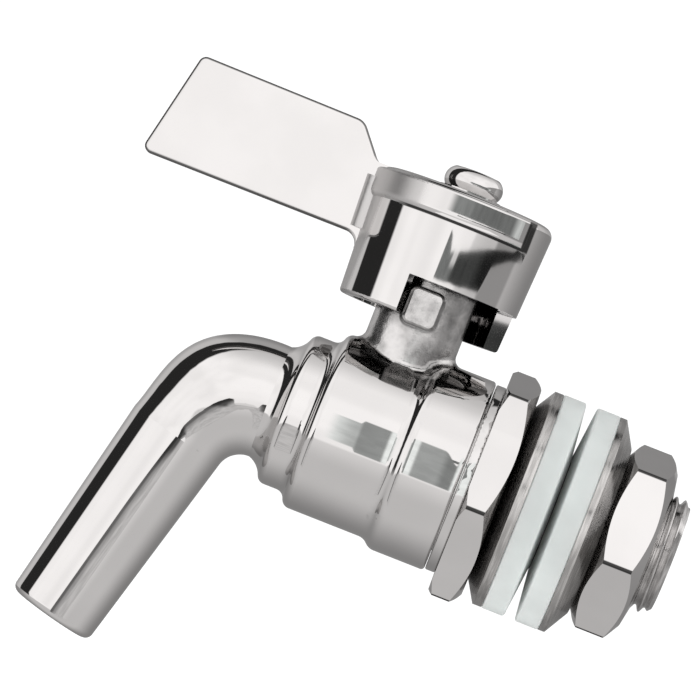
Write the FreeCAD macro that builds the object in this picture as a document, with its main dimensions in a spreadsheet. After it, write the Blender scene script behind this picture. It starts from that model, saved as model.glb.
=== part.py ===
import FreeCAD, Part
import math
import os
import re
import Sketcher
from FreeCAD import Placement, Rotation, Vector

# Lever tap for a gravity water filter. Lengths are millimetres and angles are degrees.
# +X runs along the barrel and its threaded tail, away from the spout. +Z runs up the stem.
# The part's origin is on the tail's axis, at the face of the tank wall that the two soft washers close on.
# The valve's own pieces are drawn from the centre of the ball, and placed by stem_to_wall.

SIZES = (
    ("barrel_radius", 12.7, "barrel round the ball"),
    ("barrel_front", 7.4, "stem axis to the barrel's front"),
    ("barrel_rear", 12.9, "stem axis to the barrel's rear face"),
    ("barrel_rear_radius", 13.8, "barrel over its thread"),
    ("step_start", 2.9, "stem axis to the swell of the barrel"),
    ("step_length", 2.6, "length of that swell"),
    ("barrel_edge_round", 0.5, "round of the barrel's rear edge"),
    ("collar_radius", 10.85, "collar in front of the barrel"),
    ("collar_width", 1.9, "collar's straight width"),
    ("collar_slope", 2.5, "rise from collar to barrel"),
    ("flare_length", 4.2, "rise from spout to collar"),
    ("flare_hollow", 0.72, "hollow share of that rise"),
    ("spout_radius", 8.05, "spout where it leaves the barrel"),
    ("spout_reach", 11.3, "collar's front to the corner of the spout's axis"),
    ("spout_lean", 13.85, "lean of the spout's leg from upright"),
    ("spout_length", 39.3, "corner to outlet, along the leg"),
    ("elbow_inner_round", 3.5, "round inside the elbow"),
    ("elbow_first_radius", 8.26, "elbow at its first section"),
    ("elbow_first_share", 0.26, "that section's share of the bend"),
    ("elbow_middle_radius", 8.18, "elbow at its middle section"),
    ("elbow_middle_share", 0.5, "that section's share of the bend"),
    ("elbow_last_radius", 7.32, "elbow at its last section"),
    ("elbow_last_share", 0.79, "that section's share of the bend"),
    ("leg_head_radius", 7.08, "top of the leg"),
    ("outlet_radius", 6.32, "outlet end of the leg"),
    ("outlet_round", 1.1, "round of the outlet's edge"),
    ("outlet_bore_radius", 4.7, "waterway in the spout"),
    ("outlet_bend_radius", 9.5, "bend of the waterway's axis"),
    ("front_way_radius", 5.0, "waterway between ball and spout"),
    ("neck_radius", 6.4, "neck round the stem"),
    ("neck_top", 28.5, "barrel axis to the neck's top"),
    ("neck_fillet", 1.3, "fillet where the neck meets the barrel"),
    ("lug_width", 5.0, "stop lug, across"),
    ("lug_height", 5.4, "stop lug, tall"),
    ("lug_drop", 9.3, "neck's top to the lug's middle"),
    ("lug_reach", 11.6, "stem axis to the lug's tip"),
    ("lug_edge", 1.1, "round of the lug's edges"),
    ("lug_bevel", 0.45, "bevel round the lug's tip"),
    ("ball_radius", 8.0, "ball"),
    ("ball_bore_radius", 4.8, "way through the ball"),
    ("ball_slot_width", 3.1, "slot on top of the ball"),
    ("ball_slot_floor", 5.9, "ball centre to the slot's floor"),
    ("ball_clearance", 0.06, "ball to seat"),
    ("seat_bore_radius", 5.5, "seat ring, inside"),
    ("seat_radius", 9.2, "seat ring, outside"),
    ("seat_face", 4.6, "ball centre to the seat's near face"),
    ("seat_back", 8.6, "ball centre to the seat's far face"),
    ("chamber_clearance", 0.1, "seat ring to chamber"),
    ("thread_radius", 10.9, "barrel's thread, as a plain bore"),
    ("thread_start", 8.0, "stem axis to the start of that thread"),
    ("thread_clearance", 0.05, "between threads drawn plain"),
    ("seal_section", 1.2, "body seal ring, section across"),
    ("seal_room", 0.03, "spare room round a seal ring"),
    ("seal_recess", 1.3, "depth of the body seal's recess"),
    ("seam_gap", 0.1, "seam between barrel and connector"),
    ("ring_radius", 13.55, "ring beside the barrel"),
    ("ring_width", 1.45, "ring, along the axis"),
    ("ring_round", 0.25, "round of the ring's edges"),
    ("hexagon_width", 30.0, "connector's hexagon across flats"),
    ("hexagon_length", 4.5, "connector's hexagon along the axis"),
    ("hexagon_turn", 12.1, "turn of the hexagon's corners"),
    ("hexagon_front_bevel", 1.1, "flat beyond the flats, front bevel"),
    ("corner_round", 0.35, "round of both hexagons' corners"),
    ("bevel_angle", 30.0, "bevel of both hexagons"),
    ("tail_radius", 8.33, "threaded tail"),
    ("tail_reach", 17.6, "wall's face to the tail's end"),
    ("tail_bevel", 0.9, "bevel of the tail's end"),
    ("tail_bore_radius", 5.25, "waterway in the tail"),
    ("stem_radius", 4.0, "stem in the neck"),
    ("stem_clearance", 0.06, "stem to neck and to gland"),
    ("tang_thickness", 2.9, "stem's tang"),
    ("tang_foot", 6.1, "ball centre to the tang's foot"),
    ("tang_top", 8.5, "ball centre to the tang's shoulder"),
    ("groove_radius", 2.85, "floor of the stem's ring grooves"),
    ("groove_width", 1.5, "stem's ring grooves"),
    ("groove_lower", 11.0, "barrel axis to the lower groove"),
    ("groove_upper", 14.0, "barrel axis to the upper groove"),
    ("stem_seal_section", 1.14, "stem seal rings, section across"),
    ("gland_bore_radius", 5.3, "neck's counterbore, as a plain bore"),
    ("gland_depth", 6.1, "neck's top to the counterbore's floor"),
    ("slip_washer", 0.5, "slip washers, thickness"),
    ("slip_washer_bore", 4.12, "lower slip washer, inside"),
    ("stem_play", 0.04, "play over and under the stem's collar"),
    ("collar_height", 1.5, "stem's collar"),
    ("stem_collar_radius", 5.2, "stem's collar"),
    ("stem_upper_radius", 3.5, "stem above its collar"),
    ("stem_top_gap", 0.4, "stem's end below the cup's top"),
    ("stem_flats", 5.0, "stem's end across flats"),
    ("stem_flats_clearance", 0.05, "stem's end to the cup"),
    ("gland_flange_radius", 6.2, "gland's flange"),
    ("gland_flange_height", 1.8, "gland's flange"),
    ("gland_slot_width", 1.6, "gland's spanner slots"),
    ("gland_slot_depth", 1.1, "gland's spanner slots"),
    ("roof_gap", 1.2, "gland to the cup's roof"),
    ("roof_thickness", 4.5, "cup's roof"),
    ("cup_below_lug", 1.6, "lug's middle to the cup's lower edge"),
    ("cup_radius", 12.7, "cup at its top"),
    ("cup_foot_radius", 11.9, "cup at its lower edge"),
    ("cup_bore_radius", 9.8, "inside the cup"),
    ("cup_round", 1.5, "round of the cup's top edge"),
    ("cup_inner_round", 1.2, "round inside the roof"),
    ("cup_foot_round", 0.5, "round of the cup's lower edge"),
    ("band_height", 4.05, "raised band, tall"),
    ("band_drop", 0.5, "band's top below the cup's top"),
    ("band_stand", 0.45, "how far the band stands out"),
    ("band_round", 0.4, "round of the band's upper edge"),
    ("band_lip", 1.1, "height of the band's rounded lower lip"),
    ("band_end_round", 0.4, "round of the band's ends"),
    ("band_angle", 276.0, "how far the band goes round"),
    ("window_headroom", 1.05, "stop window's top over the lug"),
    ("lever_travel", 90.0, "turn of the lever"),
    ("stop_gap", 2.0, "spare turn at each stop"),
    ("blade_thickness", 2.6, "lever blade"),
    ("blade_tip_top", 41.1, "stem axis to the blade's upper tip"),
    ("blade_tip_foot", 44.3, "stem axis to the blade's lower tip"),
    ("blade_rise", 4.9, "blade's top over the cup's top"),
    ("shoulder_rise", 4.6, "the shoulder over the cup's top"),
    ("blade_drop", 10.3, "blade's lower edge below the cup's top"),
    ("blade_shoulder", 17.1, "stem axis to the shoulder"),
    ("blade_shoulder_foot", 13.3, "stem axis to the shoulder's foot"),
    ("blade_root", 10.9, "stem axis to the blade's buried end"),
    ("blade_root_round", 1.9, "round under the blade's root"),
    ("flare_radius", 1.8, "flare between the blade's sides and the cup"),
    ("flare_start", 0.9, "blade's lower edge to the flare's foot"),
    ("flare_bite", 0.03, "how far the flare's edges sink in"),
    ("blade_tip_round", 1.1, "round of the blade's tips"),
    ("blade_shoulder_round", 2.2, "round of the shoulder"),
    ("shoulder_foot_round", 1.0, "round of the shoulder's foot"),
    ("blade_edge_round", 0.5, "round along the blade's edges"),
    ("screw_radius", 2.0, "handle screw's thread"),
    ("screw_clearance", 0.05, "handle screw in the stem"),
    ("screw_length", 9.5, "handle screw under its head"),
    ("screw_head_base", 3.7, "handle screw's head at its base"),
    ("screw_head_crown", 3.2, "handle screw's head at its crown"),
    ("screw_head_round", 1.9, "side of the handle screw's head"),
    ("screw_head_height", 3.15, "handle screw's head"),
    ("screw_dome", 0.2, "dome on the handle screw's head"),
    ("recess_width", 1.1, "cross recess, arm width"),
    ("recess_length", 4.4, "cross recess, arm length"),
    ("recess_depth", 1.6, "cross recess, depth"),
    ("washer_radius", 4.4, "handle washer"),
    ("washer_bore_radius", 2.2, "handle washer, inside"),
    ("washer_thickness", 0.6, "handle washer"),
    ("backing_radius", 15.6, "steel backing washers"),
    ("backing_bore_radius", 8.6, "steel backing washers, inside"),
    ("backing_small_radius", 12.6, "bevelled side of the front one"),
    ("backing_rim", 1.25, "rim of the front one"),
    ("backing_bevel", 1.8, "bevel of the front one"),
    ("rear_small_radius", 12.1, "bevelled side of the rear one"),
    ("rear_rim", 0.95, "rim of the rear one"),
    ("rear_bevel", 2.0, "bevel of the rear one"),
    ("soft_radius", 15.65, "silicone washers"),
    ("soft_bore_radius", 8.5, "silicone washers, inside"),
    ("soft_dish", 0.8, "taper of their faces"),
    ("soft_nose", 0.05, "their inner edge to the wall's face"),
    ("soft_round", 0.35, "round of their rims"),
    ("front_soft_thickness", 4.1, "front silicone washer"),
    ("rear_soft_thickness", 4.15, "rear silicone washer"),
    ("stack_gap", 0.05, "between washer and nut"),
    ("nut_width", 24.0, "backnut across flats"),
    ("nut_length", 7.6, "backnut"),
    ("nut_turn", 15.6, "turn of the backnut's corners"),
    ("nut_face_radius", 11.1, "backnut's bevel at its faces"),
    ("nut_crown", 0.5, "cone on the backnut's outer face"),
    ("nut_clearance", 0.05, "backnut to tail, drawn plain"),
)

# Places that follow from the sizes. Heights are from the barrel's axis and reaches from the stem's.
DERIVED = {
    "front_stack": "front_soft_thickness + soft_nose + backing_rim + backing_bevel",
    "stem_to_wall": "barrel_rear + seam_gap + ring_width + hexagon_length + stack_gap + front_stack",
    "spout_corner": "barrel_front + collar_slope + collar_width + spout_reach",
    "gland_floor": "neck_top - gland_depth",
    "lug_centre": "neck_top - lug_drop",
    "cup_foot": "lug_centre - cup_below_lug",
    "window_top": "lug_centre + lug_height / 2 + window_headroom",
    "cup_roof": "neck_top + gland_flange_height + roof_gap",
    "cup_top": "cup_roof + roof_thickness",
    "band_top": "cup_top - band_drop",
    "band_foot": "band_top - band_height",
    "blade_top": "cup_top + blade_rise",
    "blade_shoulder_top": "cup_top + shoulder_rise",
    "blade_foot": "cup_top - blade_drop",
}

doc = FreeCAD.newDocument("FilterTap")
sheet = doc.addObject("Spreadsheet::Sheet", "Sizes")
for row, (alias, number, words) in enumerate(SIZES, start=1):
    sheet.set(f"A{row}", words)
    sheet.set(f"B{row}", str(number))
    sheet.setAlias(f"B{row}", alias)
doc.recompute()

ALIASES = {alias for alias, number, words in SIZES}


def bound(formula):
    """The formula with each derived place written out and each size's name turned into its cell."""
    def replace(match):
        word = match.group()
        if word in DERIVED:
            return f"({bound(DERIVED[word])})"
        return "Sizes." + word if word in ALIASES else word
    return re.sub(r"[a-z_]+", replace, formula)


def value(formula):
    """What the formula comes to now, as a plain number."""
    result = sheet.evalExpression(bound(formula))
    return float(getattr(result, "Value", result))


def origin_plane(body, role):
    return next(feature for feature in body.Origin.OriginFeatures if feature.Role == role)


def new_body(label, in_valve=True):
    """An empty body. Pieces of the valve are drawn from the ball's centre, the others from the wall's face."""
    body = doc.addObject("PartDesign::Body", label)
    body.Label = label
    if in_valve:
        body.setExpression("Placement.Base.x", bound("-stem_to_wall"))
    return body


def new_sketch(body, name, role):
    sketch = body.newObject("Sketcher::SketchObject", name)
    sketch.AttachmentSupport = [(origin_plane(body, role), "")]
    sketch.MapMode = "FlatFace"
    return sketch


def pin_point(sketch, edge, end, across, up):
    """Holds one end of an edge at a place given by two formulas."""
    for kind, formula, axis in (("DistanceX", across, -2), ("DistanceY", up, -1)):
        if formula == "0":
            sketch.addConstraint(Sketcher.Constraint("PointOnObject", edge, end, axis))
        else:
            index = sketch.addConstraint(Sketcher.Constraint(kind, -1, 1, edge, end, value(formula)))
            sketch.setExpression(f"Constraints[{index}]", bound(formula))


def arc_between(start, end, radius, side):
    """The shorter arc from start to end. It turns left for side 1 and right for side -1."""
    chord = end - start
    middle = (start + end) * 0.5
    height = math.sqrt(max(radius ** 2 - (chord.Length / 2) ** 2, 0))
    left = Vector(-chord.y, chord.x, 0).normalize()
    centre = middle + left * (height * side)
    first, last = (start, end) if side > 0 else (end, start)
    angles = [math.atan2(point.y - centre.y, point.x - centre.x) for point in (first, last)]
    return Part.ArcOfCircle(Part.Circle(centre, Vector(0, 0, 1), radius), angles[0], angles[1])


def draw(sketch, corners, closed=True):
    """Draws an outline through the corners. A corner is two formulas, across and up.

    A corner with a radius and a side as well is reached by an arc.
    """
    places = [Vector(value(corner[0]), value(corner[1]), 0) for corner in corners]
    ends = []
    for index in range(0 if closed else 1, len(corners)):
        corner = corners[index]
        start, end = places[index - 1], places[index]
        if len(corner) == 2:
            sketch.addGeometry(Part.LineSegment(start, end), False)
            ends.append((1, 2))
        else:
            side = corner[3]
            sketch.addGeometry(arc_between(start, end, value(corner[2]), side), False)
            ends.append((1, 2) if side > 0 else (2, 1))
    first_corner = 0 if closed else 1
    count = len(ends)
    for edge in range(count if closed else count - 1):
        following = (edge + 1) % count
        joint = Sketcher.Constraint("Coincident", edge, ends[edge][1], following, ends[following][0])
        sketch.addConstraint(joint)
    if not closed:
        pin_point(sketch, 0, ends[0][0], corners[0][0], corners[0][1])
    for edge in range(count):
        corner = corners[edge + first_corner]
        pin_point(sketch, edge, ends[edge][1], corner[0], corner[1])
        if len(corner) > 2:
            radius = Sketcher.Constraint("Radius", edge, value(corner[2]))
            index = sketch.addConstraint(radius)
            sketch.setExpression(f"Constraints[{index}]", bound(corner[2]))
    return sketch


def draw_circle(sketch, across, up, radius):
    centre = Vector(value(across), value(up), 0)
    sketch.addGeometry(Part.Circle(centre, Vector(0, 0, 1), value(radius)), False)
    pin_point(sketch, 0, 3, across, up)
    index = sketch.addConstraint(Sketcher.Constraint("Radius", 0, value(radius)))
    sketch.setExpression(f"Constraints[{index}]", bound(radius))
    return sketch


def swell(start, end, hollow="0.5"):
    """Two arcs, each level at its outer end, that step from one radius to a larger one along +X.

    The first arc is the hollow one and takes the given share of the way.
    """
    run = f"({end[0]} - ({start[0]}))"
    rise = f"({end[1]} - ({start[1]}))"
    radius = f"({run} * {run} + {rise} * {rise}) / (2 * {rise})"
    meeting = (f"{start[0]} + {run} * {hollow}", f"{start[1]} + {rise} * {hollow}")
    return [
        (meeting[0], meeting[1], f"{radius} * {hollow}", 1),
        (end[0], end[1], f"{radius} * (1 - {hollow})", -1),
    ]


def turn(body, name, corners, axis, cut=False, angle=None, role="XZ_Plane"):
    """Turns an outline about the sketch's H_Axis (along X) or V_Axis (along Z), all the way or by an angle
    to both sides."""
    sketch = draw(new_sketch(body, name + "_outline", role), corners)
    feature = body.newObject("PartDesign::Groove" if cut else "PartDesign::Revolution", name)
    feature.Profile = sketch
    feature.ReferenceAxis = (sketch, [axis])
    feature.Angle = 360
    if angle:
        feature.Midplane = True
        feature.setExpression("Angle", bound(angle))
    finish(body, feature, cut)
    return feature


def extrude(body, name, sketch, length, cut=False, both_ways=False, reverse=False):
    feature = body.newObject("PartDesign::Pocket" if cut else "PartDesign::Pad", name)
    feature.Profile = sketch
    feature.setExpression("Length", bound(length))
    feature.SideType = "Symmetric" if both_ways else "One side"
    feature.Reversed = reverse
    finish(body, feature, cut)
    return feature


def finish(body, feature, cut):
    """Builds a feature and makes sure that it changed the solid the way it should."""
    before = feature.BaseFeature.Shape.Volume if feature.BaseFeature else 0
    body.Tip = feature
    doc.recompute()
    after = feature.Shape.Volume
    if (after >= before) if cut else (after <= before):
        raise RuntimeError(f"{body.Label}: {feature.Name} changed the volume from {before:.2f} to {after:.2f}")


def dress(body, name, kind, formula, wanted):
    """A fillet or a chamfer on the edges of the body that the test picks."""
    base = body.Tip
    names = [f"Edge{number}" for number, edge in enumerate(base.Shape.Edges, start=1) if wanted(edge)]
    if not names:
        raise RuntimeError(f"{body.Label}: no edges for {name}")
    feature = body.newObject("PartDesign::" + kind, name)
    feature.Base = (base, names)
    feature.setExpression("Radius" if kind == "Fillet" else "Size", bound(formula))
    body.Tip = feature
    doc.recompute()
    if feature.Shape.isNull() or not feature.Shape.isValid():
        raise RuntimeError(f"{body.Label}: {name} failed")
    return feature


def turned_piece(label, corners, axis, in_valve=True):
    body = new_body(label, in_valve)
    turn(body, label + "_turned", corners, axis)
    return body


def all_along(edge, test):
    """True if the test holds at the edge's ends and at its middle."""
    middle = edge.valueAt((edge.FirstParameter + edge.LastParameter) / 2)
    return all(test(point) for point in [vertex.Point for vertex in edge.Vertexes] + [middle])


def near(first, second, slack=0.02):
    return abs(first - second) < slack


def seal_ring(label, radius, section, place, along_x):
    """A seal ring about the barrel's axis or the stem's."""
    ring = doc.addObject("Part::Torus", label)
    ring.Label = label
    ring.setExpression("Radius1", bound(radius))
    ring.setExpression("Radius2", bound(f"({section}) / 2"))
    if along_x:
        ring.Placement.Rotation = Rotation(Vector(0, 1, 0), 90)
        ring.setExpression("Placement.Base.x", bound(f"{place} - stem_to_wall"))
    else:
        ring.setExpression("Placement.Base.x", bound("-stem_to_wall"))
        ring.setExpression("Placement.Base.z", bound(place))
    return ring


def hexagon(width, turned_by):
    """The six corners of a hexagon about the barrel's axis."""
    corner_radius = f"{width} / 2 / cos(30)"
    return [(f"{corner_radius} * cos({turned_by} + {angle})", f"{corner_radius} * sin({turned_by} + {angle})")
            for angle in range(0, 360, 60)]


def round_corners(body, name, width):
    corner_radius = value(f"{width} / 2 / cos(30)")
    dress(body, name, "Fillet", "corner_round", lambda edge: all_along(
        edge, lambda point: near(math.hypot(point.y, point.z), corner_radius)))


def place_section(sketch, reach, rise, fan):
    """Moves a sketch on the YZ plane to a place in the XZ plane, and fans it about Y by an angle."""
    if fan:
        sketch.AttachmentOffset = Placement(Vector(), Rotation(Vector(-1, 0, 0), value(fan)))
        sketch.setExpression("AttachmentOffset.Rotation.Angle", bound(fan))
    sketch.setExpression("AttachmentOffset.Base.y", bound(rise))
    sketch.setExpression("AttachmentOffset.Base.z", bound(reach))


# Valve body: a casting turned and bored about two axes, with a lofted spout.
collar_rear = "(barrel_front + collar_slope)"
collar_front = f"({collar_rear} + collar_width)"
flare_front = f"({collar_front} + flare_length)"
flare_radius = "(spout_radius - 0.15)"
step_end = "(step_start + step_length)"
thread_end = "(barrel_rear - seal_recess)"
seal_recess_radius = "(thread_radius - thread_clearance + seal_section + 2 * seal_room)"
chamber_radius = "(seat_radius + chamber_clearance)"

valve_body = new_body("valve_body")
barrel = [("-" + flare_front, "0"), ("-" + flare_front, flare_radius)]
barrel += swell(("-" + flare_front, flare_radius), ("-" + collar_front, "collar_radius"), "flare_hollow")
barrel += [("-" + collar_rear, "collar_radius")]
barrel += swell(("-" + collar_rear, "collar_radius"), ("-barrel_front", "barrel_radius"))
barrel += [("step_start", "barrel_radius")]
barrel += swell(("step_start", "barrel_radius"), (step_end, "barrel_rear_radius"))
barrel += [
    ("barrel_rear - barrel_edge_round", "barrel_rear_radius"),
    ("barrel_rear", "barrel_rear_radius - barrel_edge_round", "barrel_edge_round", -1),
    ("barrel_rear", "0"),
]
turn(valve_body, "barrel", barrel, "H_Axis")

neck = draw_circle(new_sketch(valve_body, "neck_outline", "XY_Plane"), "0", "0", "neck_radius")
extrude(valve_body, "neck", neck, "neck_top")
neck_radius = value("neck_radius")
barrel_end = value("barrel_rear_radius") + 1
dress(valve_body, "neck_foot", "Fillet", "neck_fillet", lambda edge: all_along(
    edge, lambda point: near(math.hypot(point.x, point.y), neck_radius) and 1 < point.z < barrel_end))

lug_side = "lug_width / 2"
lug_low = "lug_centre - lug_height / 2"
lug_high = "lug_centre + lug_height / 2"
lug = draw(new_sketch(valve_body, "lug_outline", "XZ_Plane"), [
    ("-" + lug_side, lug_low), (lug_side, lug_low), (lug_side, lug_high), ("-" + lug_side, lug_high)])
extrude(valve_body, "lug", lug, "lug_reach")
lug_tip = -value("lug_reach")
lug_start = -value("neck_radius") - 0.5
dress(valve_body, "lug_sides", "Fillet", "lug_edge", lambda edge: len(edge.Vertexes) == 2
      and any(near(v.Point.y, lug_tip) for v in edge.Vertexes)
      and any(v.Point.y > lug_start for v in edge.Vertexes))
dress(valve_body, "lug_tip", "Chamfer", "lug_bevel", lambda edge: all_along(edge, lambda p: near(p.y, lug_tip)))

# The elbow's sections fan out from the centre of the round inside the bend.
elbow_turn = "(90 - spout_lean)"
fan_drop = "(spout_radius + elbow_inner_round)"
fan_reach = (f"(spout_corner - (leg_head_radius + elbow_inner_round - {fan_drop} * sin(spout_lean))"
             " / cos(spout_lean))")
leg_start = f"({fan_drop} * cos(spout_lean) - (spout_corner - {fan_reach}) * sin(spout_lean))"


def on_leg(distance):
    """A place on the leg's axis, at a distance from its corner."""
    return f"-spout_corner - ({distance}) * sin(spout_lean)", f"-({distance}) * cos(spout_lean)"


def on_fan(radius, angle):
    """A place beside the elbow's inner round, at an angle of the fan."""
    out = f"(elbow_inner_round + {radius})"
    return f"-{fan_reach} - {out} * sin({angle})", f"-{fan_drop} + {out} * cos({angle})"


def spout_section(name, radius, place, fan=None):
    section = new_sketch(valve_body, name + "_section", "YZ_Plane")
    place_section(section, place[0], place[1], fan)
    return draw_circle(section, "0", "0", radius)


def elbow_section(name):
    fan = f"({elbow_turn} * {name}_share)"
    return spout_section(name, name + "_radius", on_fan(name + "_radius", fan), fan)


spout_start = spout_section("spout_start", "spout_radius", ("-" + collar_front, "0"))
bend_start = spout_section("bend_start", "spout_radius", ("-" + fan_reach, "0"))
bend_sections = [elbow_section(name) for name in ("elbow_first", "elbow_middle", "elbow_last")]
leg_head = spout_section("leg_head", "leg_head_radius", on_leg(leg_start), elbow_turn)
outlet = spout_section("outlet", "outlet_radius", on_leg("spout_length"), elbow_turn)
doc.recompute()
for name, profile, others in (
        ("spout_root", spout_start, [bend_start]),
        ("spout_elbow", bend_start, bend_sections + [leg_head]),
        ("spout_leg", leg_head, [outlet])):
    loft = valve_body.newObject("PartDesign::AdditiveLoft", name)
    loft.Profile = profile
    loft.Sections = others
    finish(valve_body, loft, cut=False)
outlet_place = on_leg("spout_length")
outlet_middle = Vector(value(outlet_place[0]), 0, value(outlet_place[1]))
dress(valve_body, "outlet_edge", "Fillet", "outlet_round", lambda edge: len(edge.Vertexes) == 1
      and edge.CenterOfMass.isEqual(outlet_middle, 0.02))

turn(valve_body, "chamber", [
    ("-" + collar_front, "0"),
    ("-" + collar_front, "front_way_radius"),
    ("-seat_back", "front_way_radius"),
    ("-seat_back", chamber_radius),
    ("thread_start", chamber_radius),
    ("thread_start", "thread_radius"),
    (thread_end, "thread_radius"),
    (thread_end, seal_recess_radius),
    ("barrel_rear", seal_recess_radius),
    ("barrel_rear", "0"),
], "H_Axis", cut=True)

bend_run = f"(outlet_bend_radius * tan({elbow_turn} / 2))"
bend_end = on_leg(bend_run)
outlet_end = on_leg("spout_length + 1")
waterway = draw(new_sketch(valve_body, "waterway_path", "XZ_Plane"), [
    ("-" + collar_rear, "0"),
    (f"-spout_corner + {bend_run}", "0"),
    (bend_end[0], bend_end[1], "outlet_bend_radius", 1),
    outlet_end,
], closed=False)
waterway_section = new_sketch(valve_body, "waterway_section", "YZ_Plane")
place_section(waterway_section, "-" + collar_rear, "0", None)
draw_circle(waterway_section, "0", "0", "outlet_bore_radius")
doc.recompute()
waterway_bore = valve_body.newObject("PartDesign::SubtractivePipe", "waterway")
waterway_bore.Profile = waterway_section
waterway_bore.Spine = (waterway, [])
finish(valve_body, waterway_bore, cut=True)

turn(valve_body, "stem_bore", [
    ("0", "0"),
    ("stem_radius + stem_clearance", "0"),
    ("stem_radius + stem_clearance", "gland_floor"),
    ("gland_bore_radius", "gland_floor"),
    ("gland_bore_radius", "neck_top"),
    ("0", "neck_top"),
], "V_Axis", cut=True)

# End connector: plug, ring, hexagon and tail on one axis.
ring_start = "(barrel_rear + seam_gap)"
hexagon_start = f"({ring_start} + ring_width)"
hexagon_end = f"({hexagon_start} + hexagon_length)"
plug_radius = "(thread_radius - thread_clearance)"
tail_end = "(stem_to_wall + tail_reach)"

end_connector = new_body("end_connector")
turn(end_connector, "spindle", [
    ("seat_back", "tail_bore_radius"),
    ("seat_back", plug_radius),
    (ring_start, plug_radius),
    (ring_start, "ring_radius - ring_round"),
    (f"{ring_start} + ring_round", "ring_radius", "ring_round", -1),
    (f"{hexagon_start} - ring_round", "ring_radius"),
    (hexagon_start, "ring_radius - ring_round", "ring_round", -1),
    (hexagon_start, "tail_radius"),
    (f"{tail_end} - tail_bevel", "tail_radius"),
    (tail_end, "tail_radius - tail_bevel"),
    (tail_end, "tail_bore_radius"),
], "H_Axis")
flats = new_sketch(end_connector, "hexagon_outline", "YZ_Plane")
flats.setExpression("AttachmentOffset.Base.z", bound(hexagon_start))
draw(flats, hexagon("hexagon_width", "hexagon_turn"))
inner = len(flats.Geometry)
flats.addGeometry(Part.Circle(Vector(), Vector(0, 0, 1), value("tail_bore_radius")), False)
flats.addConstraint(Sketcher.Constraint("Coincident", inner, 3, -1, 1))
index = flats.addConstraint(Sketcher.Constraint("Radius", inner, value("tail_bore_radius")))
flats.setExpression(f"Constraints[{index}]", bound("tail_bore_radius"))
extrude(end_connector, "hexagon", flats, "hexagon_length")
round_corners(end_connector, "hexagon_corners", "hexagon_width")
hexagon_corner = "(hexagon_width / 2 / cos(30) + 1)"
front_flat = "(hexagon_width / 2 + hexagon_front_bevel)"
rear_flat = "(hexagon_width / 2)"
turn(end_connector, "front_bevel", [
    (hexagon_start, front_flat),
    (hexagon_start, hexagon_corner),
    (f"{hexagon_start} + ({hexagon_corner} - {front_flat}) * tan(bevel_angle)", hexagon_corner),
], "H_Axis", cut=True)
turn(end_connector, "rear_bevel", [
    (hexagon_end, rear_flat),
    (f"{hexagon_end} - ({hexagon_corner} - {rear_flat}) * tan(bevel_angle)", hexagon_corner),
    (hexagon_end, hexagon_corner),
], "H_Axis", cut=True)

seal_ring("body_o_ring", f"{plug_radius} + seal_section / 2 + seal_room", "seal_section",
          f"{thread_end} + seal_recess / 2", along_x=True)

# Ball and seats. The ball's slot runs across the flow while the tap is open.
sphere = doc.addObject("Part::Sphere", "ball_sphere")
sphere.setExpression("Radius", bound("ball_radius"))
way = doc.addObject("Part::Cylinder", "ball_way")
way.setExpression("Radius", bound("ball_bore_radius"))
way.setExpression("Height", bound("2 * ball_radius"))
way.Placement.Rotation = Rotation(Vector(0, 1, 0), 90)
way.setExpression("Placement.Base.x", bound("-ball_radius"))
slot = doc.addObject("Part::Box", "ball_slot")
slot.setExpression("Length", bound("ball_slot_width"))
slot.setExpression("Width", bound("2 * ball_radius"))
slot.setExpression("Height", bound("ball_radius"))
slot.setExpression("Placement.Base.x", bound("-ball_slot_width / 2"))
slot.setExpression("Placement.Base.y", bound("-ball_radius"))
slot.setExpression("Placement.Base.z", bound("ball_slot_floor"))
bored = doc.addObject("Part::Cut", "ball_bored")
bored.Base, bored.Tool = sphere, way
ball = doc.addObject("Part::Cut", "ball")
ball.Base, ball.Tool = bored, slot
ball.Label = "ball"
ball.setExpression("Placement.Base.x", bound("-stem_to_wall"))

seat_curve = "(ball_radius + ball_clearance)"
seat_lip = f"sqrt({seat_curve} * {seat_curve} - seat_bore_radius * seat_bore_radius)"
seat_mouth = f"sqrt({seat_curve} * {seat_curve} - seat_face * seat_face)"
for label, side, bend in (("front_seat", "-", 1), ("rear_seat", "", -1)):
    turned_piece(label, [
        (side + "seat_back", "seat_bore_radius"),
        (side + "seat_back", "seat_radius"),
        (side + "seat_face", "seat_radius"),
        (side + "seat_face", seat_mouth),
        (side + seat_lip, "seat_bore_radius", seat_curve, bend),
    ], "H_Axis")

# Stem, its rings, slip washers and gland.
collar_foot = "(gland_floor + slip_washer + stem_play)"
collar_head = f"({collar_foot} + collar_height)"
gland_foot = f"({collar_head} + stem_play + slip_washer)"
stem_end = "(cup_top - stem_top_gap)"
gland_bore = "(stem_upper_radius + stem_clearance)"

stem = new_body("stem")
turn(stem, "spindle_round", [
    ("0", "tang_foot"),
    ("stem_radius", "tang_foot"),
    ("stem_radius", "groove_lower"),
    ("groove_radius", "groove_lower"),
    ("groove_radius", "groove_lower + groove_width"),
    ("stem_radius", "groove_lower + groove_width"),
    ("stem_radius", "groove_upper"),
    ("groove_radius", "groove_upper"),
    ("groove_radius", "groove_upper + groove_width"),
    ("stem_radius", "groove_upper + groove_width"),
    ("stem_radius", collar_foot),
    ("stem_collar_radius", collar_foot),
    ("stem_collar_radius", collar_head),
    ("stem_upper_radius", collar_head),
    ("stem_upper_radius", stem_end),
    ("0", stem_end),
], "V_Axis")
for name, sign in (("tang_front", "-"), ("tang_rear", "")):
    flat = draw(new_sketch(stem, name + "_outline", "XZ_Plane"), [
        (sign + "tang_thickness / 2", "tang_foot"),
        (sign + "(stem_radius + 1)", "tang_foot"),
        (sign + "(stem_radius + 1)", "tang_top"),
        (sign + "tang_thickness / 2", "tang_top"),
    ])
    extrude(stem, name, flat, "2 * stem_radius + 2", cut=True, both_ways=True)
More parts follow.
